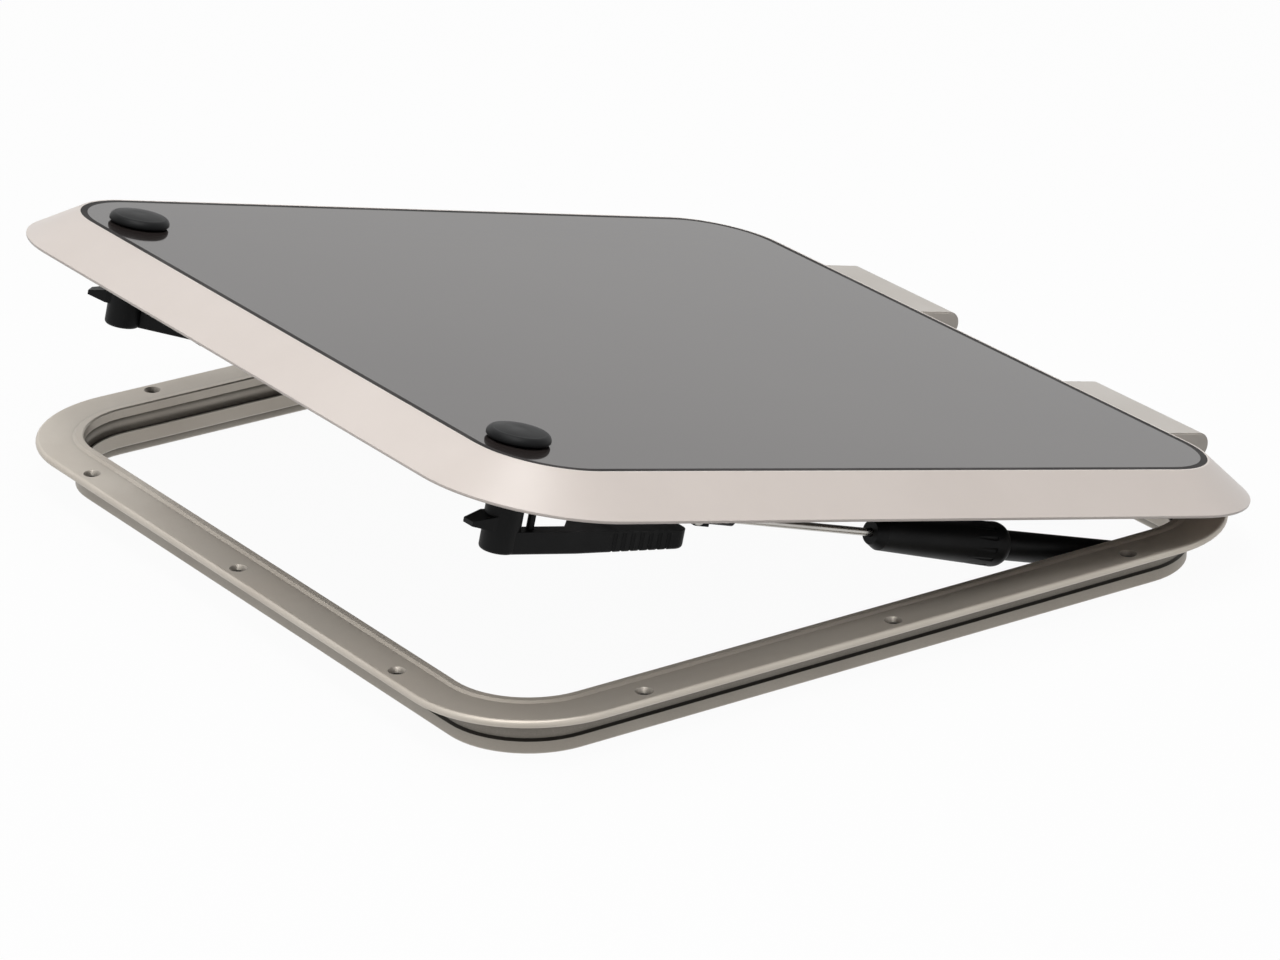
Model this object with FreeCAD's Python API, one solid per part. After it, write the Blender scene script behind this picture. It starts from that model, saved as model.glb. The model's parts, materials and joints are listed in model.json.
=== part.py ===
import FreeCAD, Part
import math
import os
from FreeCAD import Vector

# Deck hatch: a square bolted frame, a hinged lid with a flush acrylic lens, two latch handles that
# work from both sides, and a telescopic stay. Millimetres, +Z up. The origin is the centre of the
# opening in the plane of the flange's underside, which is the deck. -Y is the front, where the
# handles are, and +Y is the hinge side. Lid pieces are drawn with the lid shut and then opened.

# ---- Deck frame ----
FRAME_X = 552.0            # flange, side to side
FRAME_Y = 552.0            # flange, front to back
FRAME_RADIUS = 75.0        # plan radius of the flange's corners
FLANGE_THICK = 5.0
SPIGOT_INSET = 23.0        # outside of the spigot, in from the flange's edge: a 506 mm spigot
SPIGOT_DEPTH = 25.3        # below the deck
SPIGOT_WALL = 2.5          # at the bottom edge
SPIGOT_STEP = 1.5          # the lower bead stands out from the wall above it by this
SPIGOT_STEP_DEPTH = 16.5   # top of that bead, below the deck
LAND_INSET = 23.4          # outer edge of the raised land that the lid's seal meets
LAND_RISE = 1.1            # land above the flange
OPENING_INSET = 29.0       # inside of the land
KEEPER_INSET = 31.0        # the band inside the spigot that the latch dogs hook under
KEEPER_TOP = 9.5           # below the deck
KEEPER_BOTTOM = 18.5
COVE_DEPTH = 1.8           # hollow of the wall between the land and the keeper band
DECK_HOLE_INSET = 10.0     # deck screws, in from the flange's edge
DECK_HOLE_SPACING = 169.0  # three to a side
DECK_HOLE_RADIUS = 2.75
DECK_CSK_RADIUS = 5.2

# ---- Lid frame, lens and seal, with the lid shut ----
LID_RADIUS = 69.0          # plan radius of the lid's corners, measured at the flange's edge line
LID_OVERHANG = 10.2        # lid skirt outside the flange
SKIRT_LIFT = 4.2           # skirt's lower edge above the deck
SKIRT_EDGE = 1.8           # height of the skirt's upright edge
LENS_TOP = 24.2            # above the deck, flush with the lid frame
BEVEL_WIDTH = 28.2         # plan width of the sloping face
LID_WALL = 2.8
RIM_WIDTH = 1.3            # flat of the frame between the bevel and the sealant
SEALANT_GAP = 4.2
SEALANT_BED = 0.8
LENS_THICK = 10.0
LEDGE_WIDTH = 16.7         # the shelf that carries the lens
LEDGE_THICK = 2.2
SEAL_WIDTH = 5.2
SEAL_WALL = 1.2
SEAL_CLEARANCE = 0.3       # between the seal and the land with the lid shut
OPEN_ANGLE = 12.8          # how far the lid stands open at rest

# ---- Hinges ----
HINGE_REACH = 22.5         # hinge axis outside the flange's edge
HINGE_HEIGHT = 10.5        # above the deck
HINGE_INSET = 153.75       # middle of each hinge, in from the flange's side edge
KNUCKLE_RADIUS = 4.5
HINGE_PIN_RADIUS = 2.5
HINGE_BUSH_WALL = 1.0
BASE_KNUCKLE = 36.0        # length of the knuckle on the deck frame
LID_KNUCKLE = 19.0         # length of each of the two knuckles on the lid
BASE_LEAF_THICK = 3.0
BASE_LEAF_SEAT = 13.5      # how far the leaf lies over the flange
LEAF_SCREW_RADIUS = 2.0
LEAF_SCREW_HEAD = 3.8
COVER_LENGTH = 102.5
COVER_RADIUS = 8.3         # the cover's nose turns about the hinge axis
COVER_WALL = 2.2
COVER_EDGE = 0.8
LEAF_BRIDGE = 5.5          # front-to-back width of the plate that joins the lid's two knuckles

# ---- Handles ----
HANDLE_SIDE_INSET = 72.0   # axis, in from the flange's side edge
HANDLE_FRONT_INSET = 50.3  # axis, in from the flange's front edge
LEFT_HANDLE_TURN = 45.0    # the left handle rests this far short of latched
KNOB_RADIUS = 18.0
KNOB_HEIGHT = 6.2
KNOB_DOME = 1.2            # rise of the knob's top
KNOB_EDGE = 3.5            # radius round its edge
KNOB_SOCKET = 3.0
WASHER_RADIUS = 13.0
WASHER_THICK = 0.7
SPINDLE_RADIUS = 7.0
DRIVE_WIDTH = 9.0          # square part of the spindle
BUSH_RADIUS = 10.0         # in the lens
BUSH_FLANGE = 12.5
BUSH_FLANGE_THICK = 4.0
HUB_RADIUS = 10.8
LEVER_TOP = -25.0          # heights below are with the lid shut
LEVER_THICK = 13.2
LEVER_REACH = 121.5
LEVER_NOSE = 10.5
LEVER_NEAR = 10.0          # the straight side, out from the axis
LEVER_FAR = 9.5            # the other side, beyond the narrow part
LEVER_NARROW = 42.0        # where the narrow part ends
LEVER_END_RADIUS = 8.0
LEVER_RISE = 2.3           # the underside rises by this towards the end
LEVER_RISE_LENGTH = 75.0
RIB_START = 70.5
RIB_PITCH = 6.1
RIB_COUNT = 7
RIB_DEPTH = 0.9
STOP_POST_REACH = 17.0
STOP_POST_OFFSET = 2.8
STOP_POST_RADIUS = 2.2
STOP_POST_HEIGHT = 13.0
DOG_REACH = 22.6
DOG_TOP = -17.2
DOG_DROP = 3.4             # the dog's upper face falls by this towards its tip
DOG_TIP_THICK = 2.6
DOG_ROOT_WIDTH = 15.0
DOG_TIP_WIDTH = 9.0
HANDLE_SCREW_RADIUS = 2.5
HANDLE_SCREW_HEAD = 5.0

# ---- Stay ----
STAY_INSET = 48.0          # the stay, in from the flange's side edge
STAY_BASE_INSET = 76.0     # its base pivot, in from the flange's rear edge
STAY_BASE_Z = -18.2
STAY_SPAN = 315.0          # from there to the lid pivot, with the lid shut
STAY_LID_Z = -11.2
ROD_RADIUS = 2.3
ROD_LENGTH = 254.0
EYE_RADIUS = 5.0
EYE_THICK = 6.0
STAY_PIN_RADIUS = 3.0
STAY_PIN_HEAD = 4.6
GRIP_START = 127.0         # distances along the stay at rest, from the lid pivot
GRIP_LENGTH = 98.0
GRIP_SMALL_RADIUS = 9.8
GRIP_LARGE_RADIUS = 13.0
GRIP_FLUTES = 12
TUBE_START = 142.0
TUBE_RADIUS = 8.75
TUBE_WALL = 2.0
TUBE_END_GAP = 22.0        # the tube stops this far short of the base pivot
GUIDE_LENGTH = 10.0
BRACKET_BOSS = 5.4
BRACKET_PLATE = 2.0
BRACKET_LENGTH = 34.0      # the base bracket's plate, forward of its pivot
BRACKET_RIVETS = (15.5, 28.5)
LID_FOOT_INSET = 29.2      # outer edge of the lid bracket's foot, in from the flange's side edge
LID_FOOT_SCREW = 3.4       # its screws, in from that edge
LID_FOOT_LENGTH = 40.0
BLADE_LENGTH = 15.0

# ---- Clearances ----
RUNNING = 0.05             # radial, between a pin or spindle and its bush
FACE_GAP = 0.3             # between the faces of pieces that move past each other
SLIP = 0.05                # between pieces of one assembly that slide together

X_AXIS = Vector(1, 0, 0)
Z_AXIS = Vector(0, 0, 1)
ORIGIN = Vector(0, 0, 0)

hinge_x = FRAME_X / 2 - HINGE_INSET
hinge_y = FRAME_Y / 2 + HINGE_REACH
handle_x = FRAME_X / 2 - HANDLE_SIDE_INSET
handle_y = HANDLE_FRONT_INSET - FRAME_Y / 2
stay_x = FRAME_X / 2 - STAY_INSET
stay_base_y = FRAME_Y / 2 - STAY_BASE_INSET
stay_lid_y = stay_base_y - STAY_SPAN
skirt_y = FRAME_Y / 2 + LID_OVERHANG
skirt_top = SKIRT_LIFT + SKIRT_EDGE
bevel_slope = (LENS_TOP - skirt_top) / BEVEL_WIDTH
bevel_drop = LID_WALL * math.hypot(1, bevel_slope)
rim_inset = BEVEL_WIDTH - LID_OVERHANG
sealant_inset = rim_inset + RIM_WIDTH
lens_inset = sealant_inset + SEALANT_GAP
ledge_inset = sealant_inset + LEDGE_WIDTH
lens_bottom = LENS_TOP - LENS_THICK
ledge_top = lens_bottom - SEALANT_BED
ledge_bottom = ledge_top - LEDGE_THICK
land_top = FLANGE_THICK + LAND_RISE


# ---- Drawing helpers ----
def flat_face(path, place):
    """Face inside a closed path of points; a pair of points is an arc's middle and end."""
    edges = []
    here = path[0]
    for step in path[1:] + [path[0]]:
        if isinstance(step[0], tuple):
            middle, end = step
            edges.append(Part.Arc(place(*here), place(*middle), place(*end)).toShape())
        else:
            end = step
            if end != here:
                edges.append(Part.makeLine(place(*here), place(*end)))
        here = end
    return Part.Face(Part.Wire(edges))


def ring(path, radius=FRAME_RADIUS):
    """Section swept round the frame; its points are (inset from the flange's edge, height)."""
    section = flat_face(path, lambda inset, z: Vector(-inset, 0, z))
    pieces = []
    for side in range(4):
        half = (FRAME_X, FRAME_Y)[side % 2] / 2
        run = (FRAME_Y, FRAME_X)[side % 2] - 2 * radius
        start = section.translated(Vector(half, -run / 2, 0))
        straight = start.extrude(Vector(0, run, 0))
        centre = Vector(half - radius, run / 2, 0)
        corner = start.translated(Vector(0, run, 0)).revolve(centre, Z_AXIS, 90)
        for piece in (straight, corner):
            piece.rotate(ORIGIN, Z_AXIS, 90 * side)
            pieces.append(piece)
    return pieces[0].fuse(pieces[1:]).removeSplitter()


def plan_slab(inset, bottom, top):
    """Rounded square slab with the lid's corners whose edge lies inset from the flange's edge."""
    width = FRAME_X - 2 * inset
    depth = FRAME_Y - 2 * inset
    radius = LID_RADIUS - inset
    slab = Part.makeBox(width, depth, top - bottom, Vector(-width / 2, -depth / 2, bottom))
    upright = [e for e in slab.Edges if abs(e.Vertexes[0].Z - e.Vertexes[-1].Z) > 1e-6]
    return slab.makeFillet(radius, upright)


def across(path, length, middle_x=0.0):
    """Solid whose (y, z) section runs along X, centred on middle_x."""
    face = flat_face(path, lambda y, z: Vector(middle_x - length / 2, y, z))
    return face.extrude(Vector(length, 0, 0))


def turned(path, x=0.0, y=0.0):
    """Solid of revolution about an upright axis; its section's points are (radius, height)."""
    face = flat_face(path, lambda radius, z: Vector(x + radius, y, z))
    return face.revolve(Vector(x, y, 0), Z_AXIS, 360)


def rod(radius, length, start, direction=Z_AXIS):
    return Part.makeCylinder(radius, length, start, direction)


def tube(outer, inner, bottom, top, x=0.0, y=0.0):
    start = Vector(x, y, bottom)
    return rod(outer, top - bottom, start).cut(rod(inner, top - bottom, start))


def rod_x(radius, x_from, x_to, y, z):
    low = min(x_from, x_to)
    return rod(radius, abs(x_to - x_from), Vector(low, y, z), X_AXIS)


def square_bar(width, bottom, top, x, y):
    return Part.makeBox(width, width, top - bottom, Vector(x - width / 2, y - width / 2, bottom))


def countersunk(shank, head, bottom, top, x, y):
    """Flat-head screw, or the hole for one, pointing down."""
    return turned([(0, bottom), (shank, bottom), (shank, top - (head - shank)), (head, top), (0, top)], x, y)


def union(shapes):
    shapes = list(shapes)
    return shapes[0].fuse(shapes[1:]).removeSplitter() if len(shapes) > 1 else shapes[0]


def cut(shape, tools):
    return shape.cut(list(tools))


# ---- Poses ----
def opened(shape):
    """Turns a lid piece from the shut lid to its place at rest."""
    shape = shape.copy()
    shape.rotate(Vector(0, hinge_y, HINGE_HEIGHT), X_AXIS, -OPEN_ANGLE)
    return shape


lid_pivot = opened(Part.Vertex(stay_x, stay_lid_y, STAY_LID_Z)).Point
base_pivot = Vector(stay_x, stay_base_y, STAY_BASE_Z)
stay_length = (base_pivot - lid_pivot).Length
stay_tilt = math.degrees(math.atan2(lid_pivot.z - base_pivot.z, base_pivot.y - lid_pivot.y))


def along_stay(shape):
    """Takes a piece drawn with the lid pivot at the origin and the stay along +Z to its place."""
    shape = shape.copy()
    shape.rotate(ORIGIN, X_AXIS, -90 - stay_tilt)
    shape.translate(lid_pivot)
    return shape


# ---- Deck frame ----
def deck_hole_spots():
    for along in (-DECK_HOLE_SPACING, 0.0, DECK_HOLE_SPACING):
        for side in (-1, 1):
            yield along, side * (FRAME_Y / 2 - DECK_HOLE_INSET)
            yield side * (FRAME_X / 2 - DECK_HOLE_INSET), along


def base_leaf_screw_spots(middle):
    y = FRAME_Y / 2 - BASE_LEAF_SEAT / 2 - 0.5
    for offset in (-BASE_KNUCKLE / 3, 0.0, BASE_KNUCKLE / 3):
        yield middle + offset, y


def make_base_frame():
    nose = FLANGE_THICK / 2
    wall = SPIGOT_INSET + SPIGOT_STEP
    keeper_mid = -(OPENING_INSET - COVE_DEPTH)
    section = [
        (nose, 0.0),
        ((0.0, nose), (nose, FLANGE_THICK)),
        (LAND_INSET - 1.0, FLANGE_THICK),
        (LAND_INSET + 1.0, land_top),
        (OPENING_INSET - 0.8, land_top),
        (OPENING_INSET, land_top - 0.8),
        (OPENING_INSET, 0.0),
        ((-keeper_mid, -KEEPER_TOP / 2), (OPENING_INSET, 0.5 - KEEPER_TOP)),
        (KEEPER_INSET - 0.4, 0.5 - KEEPER_TOP),
        (KEEPER_INSET, -KEEPER_TOP),
        (KEEPER_INSET, 0.5 - KEEPER_BOTTOM),
        (KEEPER_INSET - 0.5, -KEEPER_BOTTOM),
        (SPIGOT_INSET + SPIGOT_WALL, -KEEPER_BOTTOM),
        (SPIGOT_INSET + SPIGOT_WALL, -SPIGOT_DEPTH),
        (SPIGOT_INSET + 0.6, -SPIGOT_DEPTH),
        (SPIGOT_INSET, 0.6 - SPIGOT_DEPTH),
        (SPIGOT_INSET, -SPIGOT_STEP_DEPTH - SPIGOT_STEP),
        (wall, -SPIGOT_STEP_DEPTH),
        (wall, 0.0),
    ]
    frame = ring(section)
    holes = [countersunk(DECK_HOLE_RADIUS, DECK_CSK_RADIUS, -1.0, FLANGE_THICK, x, y)
             for x, y in deck_hole_spots()]
    for middle in (-hinge_x, hinge_x):
        holes += [rod(LEAF_SCREW_RADIUS, FLANGE_THICK + 2, Vector(x, y, -1))
                  for x, y in base_leaf_screw_spots(middle)]
    rivet_x = FRAME_X / 2 - KEEPER_INSET
    holes += [rod_x(1.6, rivet_x - 1, rivet_x + 3, y, z) for y, z in bracket_rivet_spots()]
    return cut(frame, holes)


# ---- Hinges ----
def make_base_leaf(middle):
    seat = FRAME_Y / 2 - BASE_LEAF_SEAT
    top = FLANGE_THICK + BASE_LEAF_THICK
    plate = across([(seat, FLANGE_THICK), (hinge_y, FLANGE_THICK), (hinge_y, top), (seat + 1, top),
                    (seat, top - 1)], BASE_KNUCKLE, middle)
    low, high = middle - BASE_KNUCKLE / 2, middle + BASE_KNUCKLE / 2
    knuckle = rod_x(KNUCKLE_RADIUS, low, high, hinge_y, HINGE_HEIGHT)
    web = across([(hinge_y - 9, top - 1), (hinge_y, top - 1), (hinge_y, HINGE_HEIGHT + 3)],
                 BASE_KNUCKLE, middle)
    leaf = union([plate, web, knuckle])
    holes = [rod_x(HINGE_PIN_RADIUS, low - 1, high + 1, hinge_y, HINGE_HEIGHT)]
    holes += [countersunk(LEAF_SCREW_RADIUS, LEAF_SCREW_HEAD, FLANGE_THICK - 1, top, x, y)
              for x, y in base_leaf_screw_spots(middle)]
    return cut(leaf, holes)


def make_base_leaf_screws():
    top = FLANGE_THICK + BASE_LEAF_THICK
    return Part.makeCompound([countersunk(LEAF_SCREW_RADIUS, LEAF_SCREW_HEAD, 0.5, top, x, y)
                              for middle in (-hinge_x, hinge_x)
                              for x, y in base_leaf_screw_spots(middle)])


lid_knuckle_start = BASE_KNUCKLE / 2 + FACE_GAP
lid_leaf_half = lid_knuckle_start + LID_KNUCKLE


def make_hinge_pin(middle):
    return rod_x(HINGE_PIN_RADIUS, middle - lid_leaf_half, middle + lid_leaf_half, hinge_y, HINGE_HEIGHT)


def make_hinge_bushes():
    bushes = []
    for middle in (-hinge_x, hinge_x):
        for side in (-1, 1):
            near = middle + side * lid_knuckle_start
            far = middle + side * lid_leaf_half
            outer = rod_x(HINGE_PIN_RADIUS + RUNNING + HINGE_BUSH_WALL, near, far, hinge_y, HINGE_HEIGHT)
            bushes.append(outer.cut(rod_x(HINGE_PIN_RADIUS + RUNNING, near, far, hinge_y, HINGE_HEIGHT)))
    return Part.makeCompound(bushes)


def bevel_height(y):
    """Height of the lid's rear bevel at y, with the lid shut."""
    return skirt_top + (skirt_y - y) * bevel_slope


leaf_front = skirt_y - 10.0
leaf_top = HINGE_HEIGHT + KNUCKLE_RADIUS
lid_leaf_screw_y = leaf_front + 4.0


def lid_leaf_screw_spots(middle):
    for side in (-1, 1):
        yield middle + side * (lid_knuckle_start + LID_KNUCKLE / 2), lid_leaf_screw_y


def make_lid_leaf(middle):
    toe = skirt_y - 0.5
    body = across([(leaf_front, bevel_height(leaf_front)), (toe, bevel_height(toe)),
                   (hinge_y, HINGE_HEIGHT - KNUCKLE_RADIUS), (hinge_y, leaf_top),
                   (leaf_front, leaf_top + 0.8)], 2 * lid_leaf_half, middle)
    knuckle = rod_x(KNUCKLE_RADIUS, middle - lid_leaf_half, middle + lid_leaf_half, hinge_y, HINGE_HEIGHT)
    bridge_end = leaf_front + LEAF_BRIDGE
    gap = Part.makeBox(2 * lid_knuckle_start, 60, 40, Vector(middle - lid_knuckle_start, bridge_end, -10))
    bore = rod_x(HINGE_PIN_RADIUS + RUNNING + HINGE_BUSH_WALL, middle - lid_leaf_half - 1,
                 middle + lid_leaf_half + 1, hinge_y, HINGE_HEIGHT)
    holes = [countersunk(LEAF_SCREW_RADIUS, LEAF_SCREW_HEAD, -2, leaf_top + 0.6, x, y)
             for x, y in lid_leaf_screw_spots(middle)]
    return cut(union([body, knuckle]), [gap, bore] + holes)


def make_lid_leaf_screws():
    return Part.makeCompound([
        opened(countersunk(LEAF_SCREW_RADIUS, LEAF_SCREW_HEAD, skirt_top - 1.0, leaf_top + 0.6, x, y))
        for middle in (-hinge_x, hinge_x) for x, y in lid_leaf_screw_spots(middle)])


def cover_section(inner):
    """(y, z) section of a hinge cover's outside, or of its hollow."""
    radius = COVER_RADIUS - inner
    top = HINGE_HEIGHT + radius
    start = skirt_y - (top - skirt_top) / bevel_slope
    tail = math.radians(-25.0)
    end = (hinge_y + radius * math.cos(tail), HINGE_HEIGHT + radius * math.sin(tail))
    bend = math.radians(32.5)
    middle = (hinge_y + radius * math.cos(bend), HINGE_HEIGHT + radius * math.sin(bend))
    floor = SKIRT_LIFT + 1.5
    drop = 6.0 if inner else 0.0
    return [(start, top), (hinge_y, top), (middle, end), (end[0] - inner, floor - drop),
            (skirt_y, floor - drop), (skirt_y, skirt_top)]


def make_hinge_cover(middle):
    full = across(cover_section(0.0), COVER_LENGTH, middle)
    slim = across(cover_section(COVER_EDGE), COVER_LENGTH, middle)
    body = across(cover_section(0.0), COVER_LENGTH - 2 * COVER_EDGE, middle)
    outside = union([body, slim]).common(full)
    hollow = across(cover_section(COVER_WALL), COVER_LENGTH - 2 * COVER_WALL, middle)
    return outside.cut(hollow)


# ---- Lid frame, lens and seals ----
def make_lid_frame():
    skirt_inner = LID_WALL - LID_OVERHANG
    web_outer = sealant_inset - LID_WALL

    def under_bevel(inset):
        return skirt_top + (inset + LID_OVERHANG) * bevel_slope - bevel_drop

    section = [
        (skirt_inner, SKIRT_LIFT),
        (-LID_OVERHANG + 1.2, SKIRT_LIFT),
        ((-LID_OVERHANG + 0.35, SKIRT_LIFT + 0.35), (-LID_OVERHANG, SKIRT_LIFT + 1.2)),
        (-LID_OVERHANG, skirt_top),
        (rim_inset, LENS_TOP),
        (sealant_inset, LENS_TOP),
        (sealant_inset, ledge_top),
        (ledge_inset, ledge_top),
        (ledge_inset, ledge_bottom),
        (web_outer, ledge_bottom),
        (web_outer, under_bevel(web_outer)),
        (skirt_inner, under_bevel(skirt_inner)),
    ]
    frame = ring(section, LID_RADIUS)
    tools = []
    for middle in (-hinge_x, hinge_x):
        half = BASE_KNUCKLE / 2 + 1.5
        tools.append(Part.makeBox(2 * half, 30, 40, Vector(middle - half, FRAME_Y / 2 - 2.0, -10)))
        tools += [rod(LEAF_SCREW_RADIUS, 20, Vector(x, y, 0)) for x, y in lid_leaf_screw_spots(middle)]
    tools += [rod(1.5, 10, Vector(x, y, ledge_bottom - 4)) for x, y in lid_bracket_screw_spots()]
    return cut(frame, tools)


def make_lens():
    lens = plan_slab(lens_inset, lens_bottom, LENS_TOP)
    holes = [rod(BUSH_RADIUS, LENS_THICK + 2, Vector(side * handle_x, handle_y, lens_bottom - 1))
             for side in (-1, 1)]
    return cut(lens, holes)


def make_lens_sealant():
    return ring([(sealant_inset, ledge_top), (ledge_inset, ledge_top), (ledge_inset, lens_bottom),
                 (lens_inset, lens_bottom), (lens_inset, LENS_TOP), (sealant_inset, LENS_TOP)],
                LID_RADIUS)


def make_lid_seal():
    inner = OPENING_INSET - 0.2
    outer = inner - SEAL_WIDTH
    bottom = land_top + SEAL_CLEARANCE
    middle = (outer + inner) / 2
    outside = ring([(outer, ledge_bottom), (outer, bottom + 1.4),
                    ((middle, bottom), (inner, bottom + 1.4)), (inner, ledge_bottom)])
    hollow = ring([(outer + SEAL_WALL, ledge_bottom - SEAL_WALL * 0.8), (outer + SEAL_WALL, bottom + 1.9),
                   ((middle, bottom + SEAL_WALL * 0.8), (inner - SEAL_WALL, bottom + 1.9)),
                   (inner - SEAL_WALL, ledge_bottom - SEAL_WALL * 0.8)])
    return outside.cut(hollow)


# ---- Handles, drawn about the right-hand axis and latched ----
bush_bottom = lens_bottom - BUSH_FLANGE_THICK
hub_top = bush_bottom - FACE_GAP
washer_top = LENS_TOP + WASHER_THICK
knob_bottom = washer_top + FACE_GAP
lever_bottom = LEVER_TOP - LEVER_THICK
drive_hole = DRIVE_WIDTH + 2 * SLIP
drive_end = lever_bottom + 5.0
screw_seat = lever_bottom + 4.0


def make_knob():
    top = knob_bottom + KNOB_HEIGHT
    shoulder = top - KNOB_DOME
    middle = (KNOB_RADIUS * 0.55, top - KNOB_DOME * 0.33)
    round_in = KNOB_EDGE * (1 - math.sqrt(0.5))
    body = turned([(0, knob_bottom), (KNOB_RADIUS - 0.8, knob_bottom), (KNOB_RADIUS, knob_bottom + 0.8),
                   (KNOB_RADIUS, shoulder - KNOB_EDGE),
                   ((KNOB_RADIUS - round_in, shoulder - round_in), (KNOB_RADIUS - KNOB_EDGE, shoulder)),
                   (middle, (KNOB_RADIUS * 0.12, top)), (0, top)], handle_x, handle_y)
    return body.cut(rod(SPINDLE_RADIUS, KNOB_SOCKET + 1, Vector(handle_x, handle_y, knob_bottom - 1)))


def make_spindle():
    x, y = handle_x, handle_y
    groove = (LENS_TOP + lens_bottom) / 2
    shaft = turned([(0, hub_top), (SPINDLE_RADIUS, hub_top), (SPINDLE_RADIUS, groove - 1.5),
                    (SPINDLE_RADIUS - 1.6, groove - 1.5), (SPINDLE_RADIUS - 1.6, groove + 1.5),
                    (SPINDLE_RADIUS, groove + 1.5), (SPINDLE_RADIUS, knob_bottom + KNOB_SOCKET),
                    (0, knob_bottom + KNOB_SOCKET)], x, y)
    drive = square_bar(DRIVE_WIDTH, drive_end, hub_top + 1, x, y)
    thread = rod(HANDLE_SCREW_RADIUS, 14, Vector(x, y, drive_end - 1))
    return cut(union([shaft, drive]), [thread])


def make_spindle_seal():
    groove = (LENS_TOP + lens_bottom) / 2
    outer = SPINDLE_RADIUS - 0.05
    inner = outer - 1.4
    return turned([(inner, groove - 0.4), (inner + 0.3, groove - 0.7), (outer - 0.3, groove - 0.7),
                   (outer, groove - 0.4), (outer, groove + 0.4), (outer - 0.3, groove + 0.7),
                   (inner + 0.3, groove + 0.7), (inner, groove + 0.4)], handle_x, handle_y)


def make_hub_sleeve():
    x, y = handle_x, handle_y
    sleeve = turned([(0, DOG_TOP), (HUB_RADIUS, DOG_TOP), (HUB_RADIUS, hub_top - 1),
                     (HUB_RADIUS - 1, hub_top), (0, hub_top)], x, y)
    return sleeve.cut(square_bar(drive_hole, DOG_TOP - 1, hub_top + 1, x, y))


def make_latch_dog():
    x, y = handle_x, handle_y
    disc = rod(HUB_RADIUS, DOG_TOP - LEVER_TOP, Vector(x, y, LEVER_TOP))
    tip_top = DOG_TOP - DOG_DROP
    side = across([(y, DOG_TOP), (y, LEVER_TOP), (y - HUB_RADIUS, LEVER_TOP),
                   (y - DOG_REACH, tip_top - DOG_TIP_THICK), (y - DOG_REACH, tip_top),
                   (y - HUB_RADIUS + 0.5, DOG_TOP)], 2 * DOG_ROOT_WIDTH, x)
    plan = flat_face([(x - DOG_ROOT_WIDTH / 2, y), (x - DOG_ROOT_WIDTH / 2, y - HUB_RADIUS),
                      (x - DOG_TIP_WIDTH / 2, y - DOG_REACH), (x + DOG_TIP_WIDTH / 2, y - DOG_REACH),
                      (x + DOG_ROOT_WIDTH / 2, y - HUB_RADIUS), (x + DOG_ROOT_WIDTH / 2, y)],
                     lambda a, b: Vector(a, b, LEVER_TOP - 5)).extrude(Vector(0, 0, 30))
    tongue = side.common(plan)
    return union([disc, tongue]).cut(square_bar(drive_hole, LEVER_TOP - 1, DOG_TOP + 1, x, y))


def make_lever():
    x, y = handle_x, handle_y
    end = y + LEVER_REACH
    narrow = y + LEVER_NARROW
    near, far, tip = x + LEVER_NEAR, x - LEVER_FAR, LEVER_END_RADIUS
    diagonal = tip * math.sqrt(0.5)
    plan = flat_face([
        (near, y),
        (near, end - tip),
        ((near - tip + diagonal, end - tip + diagonal), (near - tip, end)),
        (far + tip, end),
        ((far + tip - diagonal, end - tip + diagonal), (far, end - tip)),
        (far, narrow + 8),
        (x, narrow),
        (x, y),
    ], lambda a, b: Vector(a, b, lever_bottom)).extrude(Vector(0, 0, LEVER_THICK))
    nose = rod(LEVER_NOSE, LEVER_THICK, Vector(x, y, lever_bottom))
    rise_start = end - LEVER_RISE_LENGTH
    wedge = across([(rise_start, lever_bottom), (end, lever_bottom + LEVER_RISE),
                    (end + 1, lever_bottom + LEVER_RISE), (end + 1, lever_bottom - 1),
                    (rise_start, lever_bottom - 1)], 6 * LEVER_FAR, x)
    lever = union([plan, nose]).cut(wedge)
    lower = [e for e in lever.Edges
             if e.BoundBox.ZMax < lever_bottom + LEVER_RISE + 0.1 and e.BoundBox.DiagonalLength > 1.0
             and not (abs(e.BoundBox.YMin - rise_start) < 0.01 and abs(e.BoundBox.YMax - rise_start) < 0.01)]
    lever = lever.makeFillet(2.2, lower)
    post = rod(STOP_POST_RADIUS, STOP_POST_HEIGHT,
               Vector(x + STOP_POST_OFFSET, y + STOP_POST_REACH, LEVER_TOP))
    tools = [square_bar(drive_hole, lever_bottom - 1, LEVER_TOP + 1, x, y),
             rod(HANDLE_SCREW_HEAD + 0.6, screw_seat - lever_bottom + 1, Vector(x, y, lever_bottom - 1))]
    for rib in range(RIB_COUNT):
        reach = RIB_START + rib * RIB_PITCH
        risen = max(0.0, reach + LEVER_RISE_LENGTH - LEVER_REACH) / LEVER_RISE_LENGTH
        under = lever_bottom + LEVER_RISE * risen
        tools.append(rod_x(1.6, far - 5, near + 5, y + reach, under - 1.6 + RIB_DEPTH))
        for side_x in (near + 1.6 - RIB_DEPTH, far - 1.6 + RIB_DEPTH):
            tools.append(rod(1.6, LEVER_THICK, Vector(side_x, y + reach, lever_bottom - 1)))
    return cut(lever, tools).fuse(post).removeSplitter()


def make_handle_screw():
    x, y = handle_x, handle_y
    seat = screw_seat
    head = turned([(0, seat - 3.2), (HANDLE_SCREW_HEAD - 1, seat - 3.2), (HANDLE_SCREW_HEAD, seat - 2.2),
                   (HANDLE_SCREW_HEAD, seat), (0, seat)], x, y)
    return union([head, rod(HANDLE_SCREW_RADIUS, 12, Vector(x, y, seat))])


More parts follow.
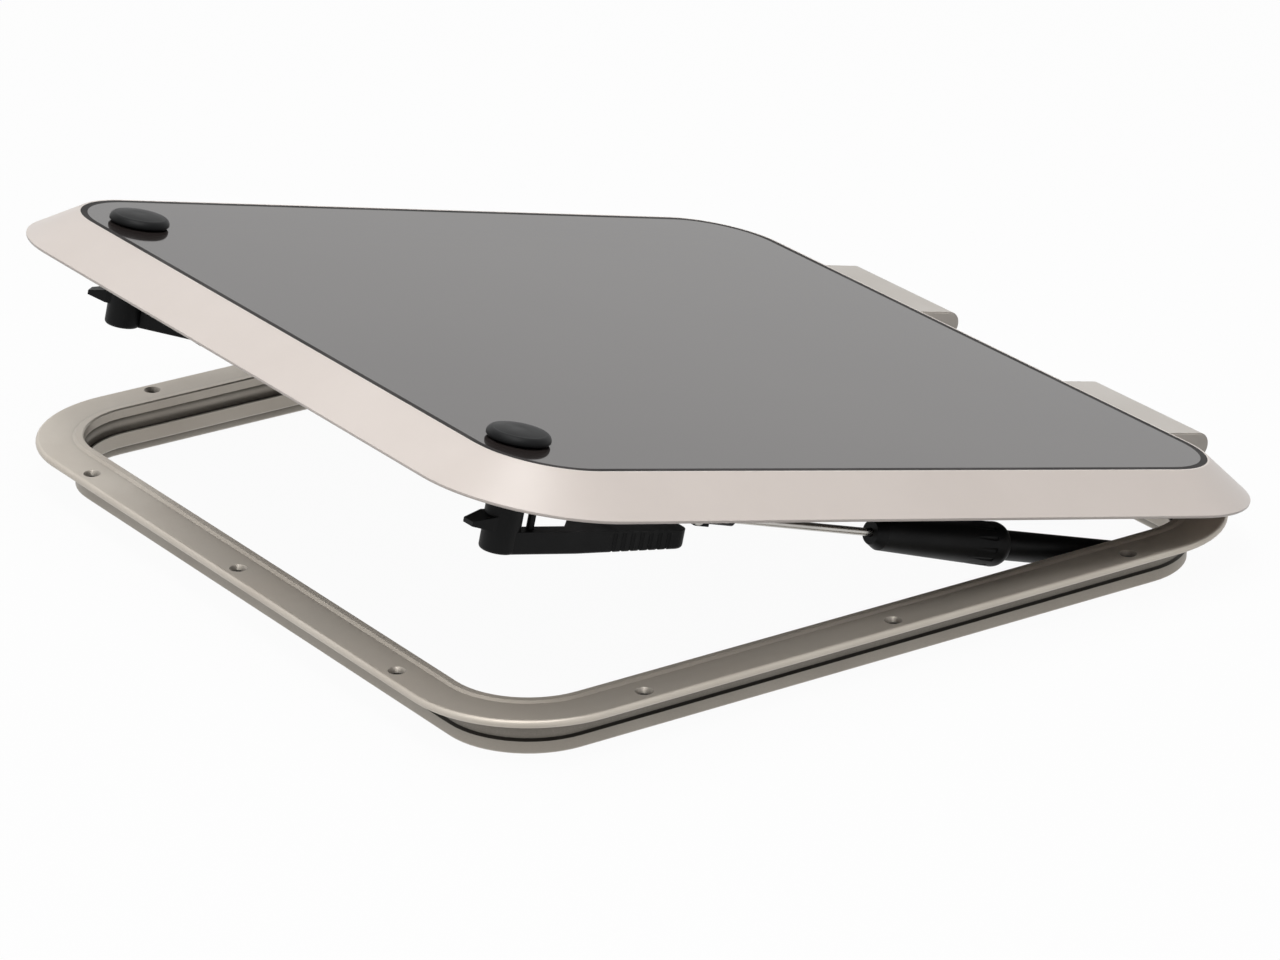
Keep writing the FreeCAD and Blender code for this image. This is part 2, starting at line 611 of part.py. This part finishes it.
def make_handle_bush(side):
    x, y = side * handle_x, handle_y
    bore = SPINDLE_RADIUS + RUNNING
    return turned([(bore, bush_bottom), (BUSH_FLANGE - 0.8, bush_bottom), (BUSH_FLANGE, bush_bottom + 0.8),
                   (BUSH_FLANGE, lens_bottom), (BUSH_RADIUS, lens_bottom), (BUSH_RADIUS, LENS_TOP),
                   (bore, LENS_TOP)], x, y)


def make_knob_washers():
    return Part.makeCompound([opened(tube(WASHER_RADIUS, SPINDLE_RADIUS + RUNNING, LENS_TOP, washer_top,
                                          side * handle_x, handle_y)) for side in (-1, 1)])


def handle_place(shape, side):
    """The left handle is the right one's mirror image, resting part turned."""
    shape = shape.copy()
    if side < 0:
        shape = shape.mirror(ORIGIN, X_AXIS)
        shape.rotate(Vector(-handle_x, handle_y, 0), Z_AXIS, -LEFT_HANDLE_TURN)
    return opened(shape)


# ---- Stay ----
lid_foot_outer = FRAME_X / 2 - LID_FOOT_INSET


def lid_bracket_screw_spots():
    x = lid_foot_outer - LID_FOOT_SCREW
    for offset in (-14.0, 14.0):
        yield x, stay_lid_y + offset


def bracket_rivet_spots():
    for offset in BRACKET_RIVETS:
        yield stay_base_y - offset, -(KEEPER_TOP + KEEPER_BOTTOM) / 2


eye_inner = stay_x - EYE_THICK / 2 - FACE_GAP
eye_outer = stay_x + EYE_THICK / 2 + FACE_GAP


def make_lid_bracket():
    """Angle with its foot under the lid's ledge and one cheek inboard of the rod's eye."""
    top = ledge_bottom
    inner = eye_inner - BRACKET_PLATE
    half = LID_FOOT_LENGTH / 2
    foot = Part.makeBox(lid_foot_outer - inner, LID_FOOT_LENGTH, BRACKET_PLATE,
                        Vector(inner, stay_lid_y - half, top - BRACKET_PLATE))
    lobe = EYE_RADIUS
    cheek = across([(stay_lid_y - half, top), (stay_lid_y - half, top - 5), (stay_lid_y - lobe, STAY_LID_Z),
                    ((stay_lid_y, STAY_LID_Z - lobe), (stay_lid_y + lobe, STAY_LID_Z)),
                    (stay_lid_y + half, top - 5), (stay_lid_y + half, top)], BRACKET_PLATE,
                   inner + BRACKET_PLATE / 2)
    holes = [rod_x(STAY_PIN_RADIUS, inner - 1, eye_inner + 1, stay_lid_y, STAY_LID_Z)]
    holes += [rod(1.5, 10, Vector(x, y, top - 5)) for x, y in lid_bracket_screw_spots()]
    return cut(union([foot, cheek]), holes)


def make_lid_bracket_screws():
    screws = []
    for x, y in lid_bracket_screw_spots():
        seat = ledge_bottom - BRACKET_PLATE
        head = turned([(0, seat - 1.6), (1.6, seat - 1.6), (2.4, seat - 0.8), (2.4, seat), (0, seat)], x, y)
        screws.append(opened(union([head, rod(1.5, BRACKET_PLATE + LEDGE_THICK, Vector(x, y, seat))])))
    return Part.makeCompound(screws)


def make_lid_pin():
    shank = rod_x(STAY_PIN_RADIUS, eye_inner - BRACKET_PLATE, eye_outer, stay_lid_y, STAY_LID_Z)
    head = rod_x(STAY_PIN_RADIUS + 1.2, eye_outer, eye_outer + 1.6, stay_lid_y, STAY_LID_Z)
    return union([shank, head])


def eye(hole, blade_length, neck_length, neck_radius, outer_face):
    """Flat eye at the origin with a round neck along +Z; its blade runs out to outer_face in x."""
    inner_face = -EYE_THICK / 2
    thick = outer_face - inner_face
    disc = rod(EYE_RADIUS, thick, Vector(inner_face, 0, 0), X_AXIS)
    blade = Part.makeBox(thick, 2 * EYE_RADIUS, blade_length, Vector(inner_face, -EYE_RADIUS, 0))
    neck = rod(neck_radius, neck_length - blade_length + 2, Vector(0, 0, blade_length - 2))
    bore = rod(hole, thick + 2, Vector(inner_face - 1, 0, 0), X_AXIS)
    return union([disc, blade, neck]).cut(bore)


def make_rod_eye():
    body = eye(STAY_PIN_RADIUS + RUNNING, EYE_RADIUS + 4, 26.0, 4.0, EYE_THICK / 2)
    return body.cut(rod(ROD_RADIUS, 20, Vector(0, 0, 12)))


def make_stay_rod():
    return rod(ROD_RADIUS, ROD_LENGTH - 12.0, Vector(0, 0, 12))


def make_rod_guide():
    bore = TUBE_RADIUS - TUBE_WALL - RUNNING
    return tube(bore, ROD_RADIUS, ROD_LENGTH - GUIDE_LENGTH - 2, ROD_LENGTH - 2)


tube_end = stay_length - TUBE_END_GAP


def make_stay_tube():
    return tube(TUBE_RADIUS, TUBE_RADIUS - TUBE_WALL, TUBE_START, tube_end)


def make_stay_collet():
    return tube(TUBE_RADIUS, ROD_RADIUS + RUNNING, GRIP_START + 6, TUBE_START)


def make_tube_end():
    body = eye(STAY_PIN_RADIUS, BLADE_LENGTH, TUBE_END_GAP + 12, TUBE_RADIUS - TUBE_WALL, TUBE_RADIUS)
    collar = rod(TUBE_RADIUS, TUBE_END_GAP - BLADE_LENGTH + 1, Vector(0, 0, BLADE_LENGTH - 1))
    body = union([body, collar])
    body.rotate(ORIGIN, X_AXIS, 180)
    body.translate(Vector(0, 0, stay_length))
    return body


def make_tube_pin():
    head = rod(STAY_PIN_HEAD, 1.6, Vector(-EYE_THICK / 2 - 1.6, 0, stay_length), X_AXIS)
    shank = rod(STAY_PIN_RADIUS, TUBE_RADIUS + EYE_THICK / 2, Vector(-EYE_THICK / 2, 0, stay_length), X_AXIS)
    return union([head, shank])


def make_stay_grip():
    end = GRIP_START + GRIP_LENGTH
    bore = TUBE_RADIUS + RUNNING
    shell = turned([(ROD_RADIUS + 0.4, GRIP_START), (GRIP_SMALL_RADIUS - 3, GRIP_START),
                    (GRIP_SMALL_RADIUS, GRIP_START + 6), (GRIP_LARGE_RADIUS, end - 8),
                    ((GRIP_LARGE_RADIUS - 0.8, end - 3), (GRIP_LARGE_RADIUS - 3, end)), (bore, end),
                    (bore, GRIP_START + 5.5), (ROD_RADIUS + 0.4, GRIP_START + 5.5)])
    flutes = []
    for flute in range(GRIP_FLUTES):
        angle = 2 * math.pi * flute / GRIP_FLUTES
        reach = GRIP_LARGE_RADIUS + 1.2
        flutes.append(rod(2.0, 56, Vector(reach * math.cos(angle), reach * math.sin(angle), end - 68)))
    return cut(shell, flutes)


def make_base_bracket():
    wall = FRAME_X / 2 - KEEPER_INSET
    face = stay_x + TUBE_RADIUS + FACE_GAP
    centre_z = -(KEEPER_TOP + KEEPER_BOTTOM) / 2
    corner = Vector(wall - BRACKET_PLATE, stay_base_y - BRACKET_LENGTH, centre_z - 4.5)
    plate = Part.makeBox(BRACKET_PLATE, BRACKET_LENGTH + 0.5, 9, corner)
    boss = rod_x(BRACKET_BOSS, face, wall - BRACKET_PLATE / 2, stay_base_y, STAY_BASE_Z)
    holes = [rod_x(STAY_PIN_RADIUS, face - 1, wall - BRACKET_PLATE, stay_base_y, STAY_BASE_Z)]
    holes += [rod_x(1.6, wall - 5, wall + 1, y, z) for y, z in bracket_rivet_spots()]
    return cut(union([plate, boss]), holes)


def make_bracket_rivets():
    wall = FRAME_X / 2 - KEEPER_INSET
    rivets = []
    for y, z in bracket_rivet_spots():
        shank = rod_x(1.6, wall - BRACKET_PLATE, wall + 2.5, y, z)
        head = rod_x(3.0, wall - BRACKET_PLATE - 1.2, wall - BRACKET_PLATE, y, z)
        rivets.append(union([shank, head]))
    return Part.makeCompound(rivets)


# ---- Every piece, one file each ----
pieces = {
    "base_frame": make_base_frame(),
    "hinge_base_left": make_base_leaf(-hinge_x),
    "hinge_base_right": make_base_leaf(hinge_x),
    "hinge_base_screws": make_base_leaf_screws(),
    "hinge_pin_left": make_hinge_pin(-hinge_x),
    "hinge_pin_right": make_hinge_pin(hinge_x),
    "stay_base_bracket": make_base_bracket(),
    "stay_base_rivets": make_bracket_rivets(),
    "lid_frame": opened(make_lid_frame()),
    "lens": opened(make_lens()),
    "lens_sealant": opened(make_lens_sealant()),
    "lid_seal": opened(make_lid_seal()),
    "hinge_leaf_left": opened(make_lid_leaf(-hinge_x)),
    "hinge_leaf_right": opened(make_lid_leaf(hinge_x)),
    "hinge_leaf_screws": make_lid_leaf_screws(),
    "hinge_bushes": opened(make_hinge_bushes()),
    "hinge_cover_left": opened(make_hinge_cover(-hinge_x)),
    "hinge_cover_right": opened(make_hinge_cover(hinge_x)),
    "handle_bush_left": opened(make_handle_bush(-1)),
    "handle_bush_right": opened(make_handle_bush(1)),
    "knob_washers": make_knob_washers(),
    "stay_lid_bracket": opened(make_lid_bracket()),
    "stay_lid_screws": make_lid_bracket_screws(),
    "stay_lid_pin": opened(make_lid_pin()),
    "stay_rod_eye": along_stay(make_rod_eye()),
    "stay_rod": along_stay(make_stay_rod()),
    "stay_rod_guide": along_stay(make_rod_guide()),
    "stay_tube": along_stay(make_stay_tube()),
    "stay_collet": along_stay(make_stay_collet()),
    "stay_tube_end": along_stay(make_tube_end()),
    "stay_tube_pin": along_stay(make_tube_pin()),
    "stay_grip": along_stay(make_stay_grip()),
}
for side, name in ((-1, "left"), (1, "right")):
    pieces["knob_" + name] = handle_place(make_knob(), side)
    pieces["spindle_" + name] = handle_place(make_spindle(), side)
    pieces["spindle_seal_" + name] = handle_place(make_spindle_seal(), side)
    pieces["hub_sleeve_" + name] = handle_place(make_hub_sleeve(), side)
    pieces["latch_dog_" + name] = handle_place(make_latch_dog(), side)
    pieces["lever_" + name] = handle_place(make_lever(), side)
    pieces["handle_screw_" + name] = handle_place(make_handle_screw(), side)

os.makedirs("parts", exist_ok=True)
for name, shape in pieces.items():
    shape.exportStep(f"parts/{name}.step")
    print(f"{name:20s} solids {len(shape.Solids)}  valid {shape.isValid()}  volume {shape.Volume:10.1f}")
print("stay length %.3f tilt %.4f lid pivot %s" % (stay_length, stay_tilt, lid_pivot))
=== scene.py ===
"""Deck hatch, part open: finishes for the CAD frame, cross recesses for its screws, and a studio.

Metres throughout.
"""
import json
import math

import bmesh
import bpy
from mathutils import Matrix, Vector


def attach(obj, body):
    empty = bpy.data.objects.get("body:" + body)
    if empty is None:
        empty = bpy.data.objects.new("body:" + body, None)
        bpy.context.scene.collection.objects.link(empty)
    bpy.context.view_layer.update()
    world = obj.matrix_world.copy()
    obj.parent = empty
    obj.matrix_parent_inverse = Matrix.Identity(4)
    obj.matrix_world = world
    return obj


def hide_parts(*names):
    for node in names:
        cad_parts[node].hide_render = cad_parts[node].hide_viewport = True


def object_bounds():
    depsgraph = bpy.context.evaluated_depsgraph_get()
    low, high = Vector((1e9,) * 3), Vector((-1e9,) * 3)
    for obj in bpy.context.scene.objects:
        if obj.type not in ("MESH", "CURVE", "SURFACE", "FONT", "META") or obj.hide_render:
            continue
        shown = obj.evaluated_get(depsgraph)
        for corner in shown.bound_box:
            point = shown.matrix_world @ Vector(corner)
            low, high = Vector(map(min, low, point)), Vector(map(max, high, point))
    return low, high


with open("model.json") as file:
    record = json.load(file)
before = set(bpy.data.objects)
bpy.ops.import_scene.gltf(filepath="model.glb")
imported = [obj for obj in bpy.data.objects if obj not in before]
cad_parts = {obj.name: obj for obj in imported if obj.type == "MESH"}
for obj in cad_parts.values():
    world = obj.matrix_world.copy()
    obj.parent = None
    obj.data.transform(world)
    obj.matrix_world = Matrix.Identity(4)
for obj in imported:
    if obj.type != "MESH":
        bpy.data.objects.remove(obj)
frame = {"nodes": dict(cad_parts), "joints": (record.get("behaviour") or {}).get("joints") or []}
size_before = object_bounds()
nodes = frame["nodes"]
joints = {joint["name"]: joint for joint in frame["joints"]}


# ---- Node helpers ----
NOISE_LOW, NOISE_HIGH = 0.3, 0.7    # a noise's values lie mostly between these
NOISE_ROUGHNESS = 0.55
SHELTER_SAMPLES = 12


def srgb(red, green, blue):
    """Linear colour of an 8-bit display colour."""
    linear = []
    for level in (red, green, blue):
        share = level / 255
        linear.append(((share + 0.055) / 1.055) ** 2.4 if level > 10 else share / 12.92)
    return (*linear, 1.0)


def new_material(name):
    material = bpy.data.materials.new(name)
    material.use_nodes = True
    return material, material.node_tree


def add_noise(tree, scale, detail):
    """Noise in the object's own coordinates, scale to a metre."""
    place = tree.nodes.new("ShaderNodeTexCoord")
    noise = tree.nodes.new("ShaderNodeTexNoise")
    noise.inputs["Scale"].default_value = scale
    noise.inputs["Detail"].default_value = detail
    noise.inputs["Roughness"].default_value = NOISE_ROUGHNESS
    tree.links.new(place.outputs["Object"], noise.inputs["Vector"])
    return noise.outputs["Fac"]


def add_range(tree, value, low, high, from_low=NOISE_LOW, from_high=NOISE_HIGH):
    """The value, stretched from one range to another and held inside it."""
    ramp = tree.nodes.new("ShaderNodeMapRange")
    ramp.inputs["From Min"].default_value = from_low
    ramp.inputs["From Max"].default_value = from_high
    ramp.inputs["To Min"].default_value = low
    ramp.inputs["To Max"].default_value = high
    tree.links.new(value, ramp.inputs["Value"])
    return ramp.outputs["Result"]


def add_mix(tree, factor, first, second):
    """Mix of two colours, where each is a constant or another node's output."""
    mix = tree.nodes.new("ShaderNodeMix")
    mix.data_type = "RGBA"
    for socket, value in (("A", first), ("B", second)):
        if isinstance(value, tuple):
            mix.inputs[socket].default_value = value
        else:
            tree.links.new(value, mix.inputs[socket])
    tree.links.new(factor, mix.inputs["Factor"])
    return mix.outputs["Result"]


def add_bump(tree, height, strength, distance):
    bump = tree.nodes.new("ShaderNodeBump")
    bump.inputs["Strength"].default_value = strength
    bump.inputs["Distance"].default_value = distance
    tree.links.new(height, bump.inputs["Height"])
    return bump.outputs["Normal"]


def add_shelter(tree, reach, inside=False):
    """1 in the open, and less where the piece's own faces within reach close it in.

    Seen from inside, it is less near the piece's edges.
    """
    shelter = tree.nodes.new("ShaderNodeAmbientOcclusion")
    shelter.samples = SHELTER_SAMPLES
    shelter.inside = inside
    shelter.only_local = True
    shelter.inputs["Distance"].default_value = reach
    return shelter.outputs["AO"]


def add_shader_mix(tree, factor, first, second):
    """Shows a mix of two shaders, where the factor is a constant or another node's output."""
    mixer = tree.nodes.new("ShaderNodeMixShader")
    if isinstance(factor, float):
        mixer.inputs["Fac"].default_value = factor
    else:
        tree.links.new(factor, mixer.inputs["Fac"])
    for slot, shader in ((1, first), (2, second)):
        tree.links.new(shader.outputs[0], mixer.inputs[slot])
    tree.links.new(mixer.outputs["Shader"], tree.nodes["Material Output"].inputs["Surface"])


# ---- Materials ----
MOTTLE_DETAIL = 5.0
GRAIN_DETAIL, GRAIN_STRENGTH = 3.0, 0.35
EDGE_REACH = 0.0016                 # width of an edge that is lightened, partly as wear and partly as a painted highlight
EDGE_FULL_WEAR_AND_HIGHLIGHT, EDGE_PLAIN = 0.35, 0.9   # shelter, seen from inside, at which the edge's wear and painted highlight are full and at which they end
RECESS_REACH = 0.05                 # how near other faces close a recess in, for the painted shade
# shelter at which the painted shade in a recess is full and at which it ends
RECESS_FULL_PAINTED_SHADE, RECESS_PLAIN = 0.60, 1.0


def surface(name, light, dark, rough, grain, depth, mottle=30.0, metallic=0.0, specular=0.5,
            wear_and_highlight=None, painted_shade=None):
    """Painted, moulded or metal surface.

    The mottle, at its scale, runs between two colours and two roughnesses, over a fine grain of its
    own scale and depth. The edges are lightened towards a colour that is partly wear and partly a
    painted highlight, and the recesses are darkened towards a painted shade.
    """
    material, tree = new_material(name)
    shader = tree.nodes["Principled BSDF"]
    shader.inputs["Metallic"].default_value = metallic
    shader.inputs["Specular IOR Level"].default_value = specular
    patches = add_noise(tree, mottle, MOTTLE_DETAIL)
    colour = add_mix(tree, add_range(tree, patches, 0.0, 1.0), light, dark)
    # painted shade: recesses are darkened towards a dark colour, where shade falls under and between faces
    if painted_shade:
        shelter = add_shelter(tree, RECESS_REACH)
        recess = add_range(tree, shelter, 1.0, 0.0, RECESS_FULL_PAINTED_SHADE, RECESS_PLAIN)
        colour = add_mix(tree, recess, colour, painted_shade)
    # edges lightened towards a pale colour: partly wear, partly a painted highlight
    if wear_and_highlight:
        shelter = add_shelter(tree, EDGE_REACH, inside=True)
        edge = add_range(tree, shelter, 1.0, 0.0, EDGE_FULL_WEAR_AND_HIGHLIGHT, EDGE_PLAIN)
        colour = add_mix(tree, edge, colour, wear_and_highlight)
    tree.links.new(colour, shader.inputs["Base Color"])
    tree.links.new(add_range(tree, patches, *rough), shader.inputs["Roughness"])
    fine = add_noise(tree, grain, GRAIN_DETAIL)
    tree.links.new(add_bump(tree, fine, GRAIN_STRENGTH, depth), shader.inputs["Normal"])
    return material


OPAQUE_SHARE = 0.90             # of the smoked acrylic; the rest is clear


def smoked_acrylic():
    """Dark glossy sheet, just see-through: most of its grey is the bright room that it reflects."""
    material, tree = new_material("smoked_acrylic")
    shader = tree.nodes["Principled BSDF"]
    shader.inputs["IOR"].default_value = 1.49
    shader.inputs["Specular Tint"].default_value = (1.0, 0.93, 0.88, 1.0)
    haze = add_noise(tree, scale=3.5, detail=4.0)
    colour = add_mix(tree, add_range(tree, haze, 0.0, 1.0), srgb(54, 49, 47), srgb(46, 41, 40))
    tree.links.new(colour, shader.inputs["Base Color"])
    tree.links.new(add_range(tree, haze, low=0.03, high=0.08), shader.inputs["Roughness"])
    waves = add_noise(tree, scale=14.0, detail=2.0)
    tree.links.new(add_bump(tree, waves, strength=0.08, distance=0.0003), shader.inputs["Normal"])
    clear = tree.nodes.new("ShaderNodeBsdfTransparent")
    clear.inputs["Color"].default_value = srgb(118, 113, 109)
    add_shader_mix(tree, OPAQUE_SHARE, clear, shader)
    return material


acrylic = smoked_acrylic()
powder_coat = surface("powder_coat", srgb(216, 206, 199), srgb(210, 200, 193), rough=(0.30, 0.40),
                      grain=900.0, depth=0.00006, mottle=9.0)
cover_coat = surface("cover_coat", srgb(194, 188, 181), srgb(187, 181, 173), rough=(0.34, 0.46),
                     grain=900.0, depth=0.00008, mottle=9.0)
# recesses darkened with a painted shade; edges lightened, partly wear and partly a painted highlight
anodised = surface("anodised", srgb(214, 206, 194), srgb(205, 196, 184), rough=(0.36, 0.48),
                   grain=1300.0, depth=0.00004, mottle=14.0, metallic=0.45, specular=0.35,
                   wear_and_highlight=srgb(242, 238, 230), painted_shade=srgb(56, 53, 48))
stainless = surface("stainless", srgb(178, 175, 170), srgb(160, 157, 152), rough=(0.24, 0.36),
                    grain=1500.0, depth=0.00003, mottle=40.0, metallic=1.0)
bright_rod = surface("bright_rod", srgb(196, 193, 188), srgb(182, 179, 174), rough=(0.22, 0.32),
                     grain=1500.0, depth=0.00003, mottle=40.0, metallic=1.0)
black_nylon = surface("black_nylon", srgb(9, 10, 11), srgb(6, 7, 8), rough=(0.40, 0.55),
                      grain=1700.0, depth=0.00008, specular=0.16)
rubber = surface("rubber", srgb(34, 34, 35), srgb(26, 26, 27), rough=(0.60, 0.75),
                 grain=1500.0, depth=0.0001)
sealant = surface("sealant", srgb(34, 31, 30), srgb(25, 23, 22), rough=(0.60, 0.75),
                  grain=1200.0, depth=0.00006, specular=0.22)
white_nylon = surface("white_nylon", srgb(214, 211, 202), srgb(204, 200, 190), rough=(0.40, 0.50),
                      grain=1500.0, depth=0.00006)


def both(stem):
    return [stem + "_left", stem + "_right"]


def dress(material, names):
    for name in names:
        nodes[name].data.materials.clear()
        nodes[name].data.materials.append(material)


dress(black_nylon, nodes)       # the handles, the stay and its brackets keep this
dress(anodised, ["base_frame"])
dress(powder_coat, ["lid_frame"])
dress(cover_coat, both("hinge_cover") + both("hinge_leaf"))
dress(acrylic, ["lens"])
dress(sealant, ["lens_sealant"])
dress(rubber, ["lid_seal"] + both("spindle_seal"))
dress(stainless, both("hinge_base") + both("hinge_pin") + both("handle_screw"))
dress(stainless, ["hinge_base_screws", "hinge_leaf_screws", "stay_base_rivets", "stay_lid_screws"])
dress(stainless, ["stay_lid_pin", "stay_tube_pin"])
dress(bright_rod, ["stay_rod"])
dress(white_nylon, ["hinge_bushes", "stay_rod_guide", "stay_collet"])

# ---- Cross recesses in the heads of the screws ----
BASE_UP = Vector((0.0, 0.0, 1.0))
LID_DOWN = -Vector(joints["handle_turn_right"]["axis"])     # the handles turn about the lid's normal
ACROSS = Vector((1.0, 0.0, 0.0))                            # square to both
WELD = 1e-7                     # vertices nearer than this are one
FLAT = 2e-5                     # how far a vertex of the head's face may lie below its highest
SHARP = math.radians(35.0)      # edges that turn more than this stay sharp

# The recess narrows from its mouth to its floor. Each has its height over the head's face, how far its
# arms reach from the middle and half their width, as shares of the face's radius.
MOUTH = (0.06, 0.66, 0.165)
PIT_FLOOR = (-0.45, 0.24, 0.10)


def separate_parts(mesh):
    """Lists of the vertices that edges join."""
    found, seen = [], set()
    for start in mesh.verts:
        if start in seen:
            continue
        seen.add(start)
        waiting, part = [start], []
        while waiting:
            here = waiting.pop()
            part.append(here)
            for edge in here.link_edges:
                there = edge.other_vert(here)
                if there not in seen:
                    seen.add(there)
                    waiting.append(there)
        found.append(part)
    return found


def head_face(part, outward):
    """Middle and radius of the flat face that the screw's head turns outward."""
    top = max(vertex.co.dot(outward) for vertex in part)
    rim = [vertex.co for vertex in part if vertex.co.dot(outward) > top - FLAT]
    middle = outward * top
    for axis in (ACROSS, outward.cross(ACROSS)):
        reach = [point.dot(axis) for point in rim]
        middle = middle + axis * (min(reach) + max(reach)) / 2
    return middle, max((point - middle).length for point in rim)


def add_cross(mesh, middle, radius, outward):
    """Tapered cross that is cut out of a head."""
    along = outward.cross(ACROSS)
    rings = []
    for height, arm, half_width in (MOUTH, PIT_FLOOR):
        ring = []
        for quarter in range(4):
            angle = quarter * math.pi / 2
            cos, sin = math.cos(angle), math.sin(angle)
            for a, b in ((arm, -half_width), (arm, half_width), (half_width, half_width)):
                place = ACROSS * (a * cos - b * sin) + along * (a * sin + b * cos) + outward * height
                ring.append(mesh.verts.new(middle + place * radius))
        rings.append(ring)
    mouth, pit = rings
    for i in range(len(mouth)):
        mesh.faces.new((mouth[i - 1], mouth[i], pit[i], pit[i - 1]))
    mesh.faces.new(mouth)
    mesh.faces.new(list(reversed(pit)))


def make_object(name, shape):
    """Object of a bmesh, which is freed."""
    bmesh.ops.recalc_face_normals(shape, faces=shape.faces)
    mesh = bpy.data.meshes.new(name)
    shape.to_mesh(mesh)
    shape.free()
    piece = bpy.data.objects.new(name, mesh)
    bpy.context.scene.collection.objects.link(piece)
    return piece


def cross_recessed(node, body, outward):
    """The node's screws again, with a cross recess in each head."""
    screws, crosses = bmesh.new(), bmesh.new()
    screws.from_mesh(nodes[node].data)
    bmesh.ops.remove_doubles(screws, verts=screws.verts, dist=WELD)
    for part in separate_parts(screws):
        add_cross(crosses, *head_face(part, outward), outward)
    piece = make_object(node + "_recessed", screws)
    cutter = make_object("cutter", crosses)
    cutting = piece.modifiers.new("recess", "BOOLEAN")
    cutting.operation = "DIFFERENCE"
    cutting.solver = "EXACT"
    cutting.object = cutter
    cut = bpy.data.meshes.new_from_object(piece.evaluated_get(bpy.context.evaluated_depsgraph_get()))
    piece.modifiers.clear()
    piece.data = cut
    bpy.data.objects.remove(cutter)
    cut.shade_smooth()
    cut.set_sharp_from_angle(angle=SHARP)
    cut.materials.clear()
    cut.materials.append(stainless)
    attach(piece, body)
    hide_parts(node)


cross_recessed("hinge_base_screws", "base", BASE_UP)
cross_recessed("stay_lid_screws", "lid", LID_DOWN)
for side in ("left", "right"):
    cross_recessed("handle_screw_" + side, "handle_" + side, LID_DOWN)

# ---- Floor, room and lamps ----
FLOOR_HEIGHT = size_before[0][2]    # the hatch stands on the lowest edge of its spigot
FLOOR_SIDE = 60.0
FLOOR_GREY = (0.45, 0.45, 0.45, 1.0)
FLOOR_GLOW = 1.02
GLOW_SHARE = 0.94               # the rest of the floor takes the shadow
ROOM_GLOW = 1.0                 # how bright the room looks
ROOM_LIGHT = 0.18               # how much it lights the hatch
SEEN_BY = ("Is Camera Ray", "Is Glossy Ray", "Is Transmission Ray")


def add_any_ray(tree, kinds):
    """1 for rays of any of these kinds, and 0 for the rest."""
    path = tree.nodes.new("ShaderNodeLightPath")
    value = path.outputs[kinds[0]]
    for kind in kinds[1:]:
        either = tree.nodes.new("ShaderNodeMath")
        either.operation = "MAXIMUM"
        tree.links.new(value, either.inputs[0])
        tree.links.new(path.outputs[kind], either.inputs[1])
        value = either.outputs["Value"]
    return value


def make_floor():
    """Pale floor, near white where it is seen, with a faint shadow."""
    bpy.ops.mesh.primitive_plane_add(size=FLOOR_SIDE, location=(0, 0, FLOOR_HEIGHT))
    floor = bpy.context.object
    floor.name = "floor"
    material, tree = new_material("floor")
    shader = tree.nodes["Principled BSDF"]
    shader.inputs["Base Color"].default_value = FLOOR_GREY
    shader.inputs["Roughness"].default_value = 0.9
    shader.inputs["Specular IOR Level"].default_value = 0.1
    glow = tree.nodes.new("ShaderNodeEmission")
    glow.inputs["Strength"].default_value = FLOOR_GLOW
    share = tree.nodes.new("ShaderNodeMath")
    share.operation = "MULTIPLY"
    share.inputs[1].default_value = GLOW_SHARE
    tree.links.new(add_any_ray(tree, SEEN_BY), share.inputs[0])
    add_shader_mix(tree, share.outputs["Value"], shader, glow)
    floor.data.materials.append(material)


def make_room():
    """White room all round, which lights less than it shows."""
    world = bpy.data.worlds.new("studio")
    bpy.context.scene.world = world
    world.use_nodes = True
    tree = world.node_tree
    background = tree.nodes["Background"]
    background.inputs["Color"].default_value = (1.0, 1.0, 1.0, 1.0)
    strength = add_range(tree, add_any_ray(tree, SEEN_BY), ROOM_LIGHT, ROOM_GLOW, 0.0, 1.0)
    tree.links.new(strength, background.inputs["Strength"])


def area_lamp(name, place, side, watts, target=(0.0, 0.0, 0.0)):
    """Square lamp that faces its target."""
    lamp = bpy.data.lights.new(name, "AREA")
    lamp.shape = "SQUARE"
    lamp.size = side
    lamp.energy = watts
    holder = bpy.data.objects.new(name, lamp)
    bpy.context.scene.collection.objects.link(holder)
    holder.location = place
    holder.rotation_euler = (Vector(target) - Vector(place)).to_track_quat("-Z", "Y").to_euler()


make_floor()
make_room()
area_lamp("key", (0.9, -2.3, 2.3), side=2.0, watts=17.0)
area_lamp("near_corner", (1.2, -0.8, 2.2), side=0.6, watts=16.0, target=(0.25, -0.15, 0.08))
area_lamp("fill", (-2.6, -0.4, 1.8), side=2.0, watts=4.0)
area_lamp("top", (0.0, -0.1, 3.2), side=2.0, watts=55.0)

# ---- Camera ----
AZIMUTH = math.radians(55.215)      # from the front, towards the hatch's right
ELEVATION = math.radians(22.587)
ROLL = math.radians(0.392)
DISTANCE = 3.2733
SHIFT_RIGHT, SHIFT_UP = 0.00992, -0.00203
LENS_MM, SENSOR_MM = 154.66, 36.0
CLIP_END = 100.0


def make_camera():
    """Camera that looks along its own axes, a little beside the middle of the opening."""
    out = math.cos(ELEVATION)
    back = Vector((math.sin(AZIMUTH) * out, -math.cos(AZIMUTH) * out, math.sin(ELEVATION)))
    level_right = Vector((math.cos(AZIMUTH), math.sin(AZIMUTH), 0.0))
    level_up = back.cross(level_right)
    right = math.cos(ROLL) * level_right + math.sin(ROLL) * level_up
    up = math.cos(ROLL) * level_up - math.sin(ROLL) * level_right
    eye = SHIFT_RIGHT * right + SHIFT_UP * up + DISTANCE * back
    camera = bpy.data.objects.new("camera", bpy.data.cameras.new("camera"))
    bpy.context.scene.collection.objects.link(camera)
    camera.data.lens = LENS_MM
    camera.data.sensor_width = SENSOR_MM
    camera.data.clip_end = CLIP_END
    camera.matrix_world = Matrix.Translation(eye) @ Matrix((right, up, back)).transposed().to_4x4()
    bpy.context.scene.camera = camera


make_camera()
bpy.context.scene.view_settings.view_transform = "Standard"
